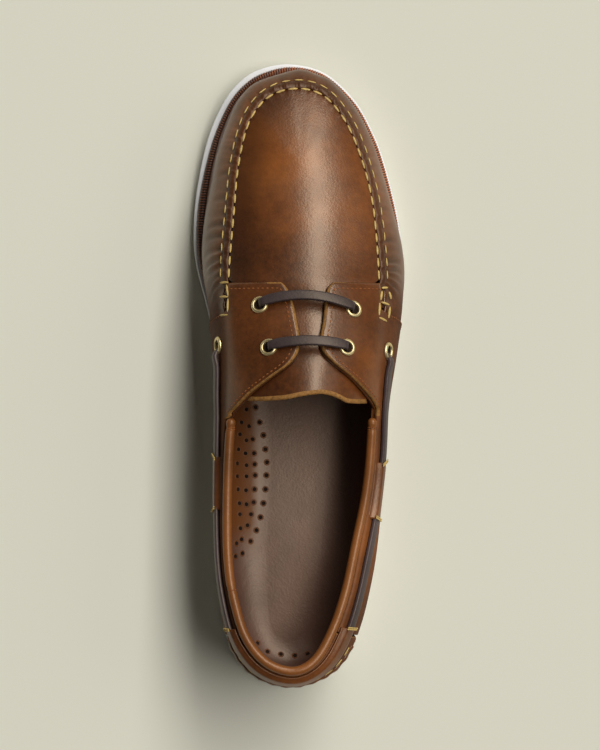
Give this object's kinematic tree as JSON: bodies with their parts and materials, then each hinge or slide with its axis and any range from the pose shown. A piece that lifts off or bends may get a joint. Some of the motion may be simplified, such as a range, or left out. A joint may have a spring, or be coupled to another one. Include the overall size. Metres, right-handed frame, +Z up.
{
  "type": "boat shoe",
  "caption": "Leather boat shoe with moccasin seam, laced saddle, side lace, padded collar, ribbed welt and white rubber sole.",
  "frame": {"origin": "on the ground under the middle of the shoe's bounding box", "axes": "+Z up, +Y from heel to toe, +X to the outer side of the right foot"},
  "size_m": [0.1006, 0.298, 0.0893],
  "materials": {
    "white_rubber": "matt, moulded",
    "welt_leather": "ribbed, satin",
    "insole_leather": "smooth, dull",
    "brown_leather": "oiled pull-up, soft sheen",
    "tan_leather": "soft, satin",
    "lace_leather": "waxed, dull",
    "brass": "satin"
  },
  "bodies": {
    "root": {"outsole": "white_rubber", "welt": "welt_leather", "insole": "insole_leather", "upper": "brown_leather", "moc_seam": "brown_leather", "quarter_medial": "brown_leather", "quarter_lateral": "brown_leather", "heel_counter": "brown_leather", "tongue": "brown_leather", "collar_roll": "tan_leather", "lace_heel": "lace_leather", "lace_tunnel_medial": "brown_leather", "lace_tunnel_lateral": "brown_leather", "heel_tunnel": "brown_leather", "lace_bar_front": "lace_leather", "lace_bar_rear": "lace_leather", "eyelet_front_medial": "brass", "eyelet_rear_medial": "brass", "eyelet_side_medial": "brass", "eyelet_front_lateral": "brass", "eyelet_rear_lateral": "brass", "eyelet_side_lateral": "brass"}
  },
  "joints": []
}
